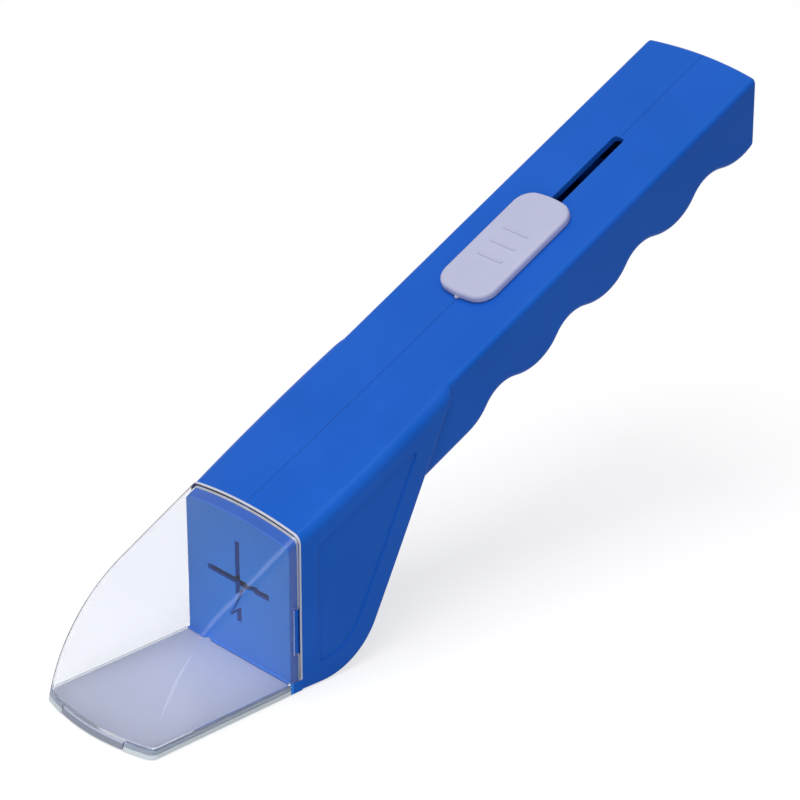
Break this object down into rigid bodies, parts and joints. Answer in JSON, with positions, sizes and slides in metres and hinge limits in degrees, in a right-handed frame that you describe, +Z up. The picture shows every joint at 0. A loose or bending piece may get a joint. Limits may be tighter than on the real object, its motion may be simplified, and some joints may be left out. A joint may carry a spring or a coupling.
{
  "type": "insect catcher",
  "caption": "Hand-held insect catcher with a clear chamber, a scalloped hollow handle, and a thumb button that slides a flexible sheet across the mouth.",
  "frame": {"origin": "middle of the chamber's rear edge on the mouth's plane, where the chamber meets the head", "axes": "+X forward to the chamber's nose, +Y to the holder's left, +Z up from the mouth's plane"},
  "size_m": [0.238, 0.0472, 0.132],
  "materials": {
    "shell_blue": "satin",
    "clear_plastic": "gloss",
    "sheet_film": "matte",
    "button_grey": "matte",
    "carriage_grey": "matte",
    "screw_steel": "brushed"
  },
  "bodies": {
    "casing": {"left_shell": "shell_blue", "right_shell": "shell_blue", "bulkhead": "shell_blue", "viewing_chamber": "clear_plastic", "shell_screws": "screw_steel", "closing_sheet_floor": "sheet_film", "closing_sheet_bend": "sheet_film"},
    "slider": {"thumb_button": "button_grey", "slide_carriage": "carriage_grey", "carriage_screw": "screw_steel", "closing_sheet_tail": "sheet_film"},
    "door": {"closing_sheet_front": "sheet_film"}
  },
  "joints": [
    {"name": "thumb_slide", "type": "slide", "parent": "casing", "child": "slider", "axis": [0.9063, 0, -0.4226], "range_m": [-0.05, 0], "deforming": ["closing_sheet_tail"]},
    {"name": "door_slide", "type": "slide", "parent": "casing", "child": "door", "axis": [1, 0, 0], "range_m": [-0.05, 0], "deforming": ["closing_sheet_floor"]}
  ],
  "couplings": [
    {"joint": "door_slide", "follows": "thumb_slide", "ratio": 1}
  ]
}
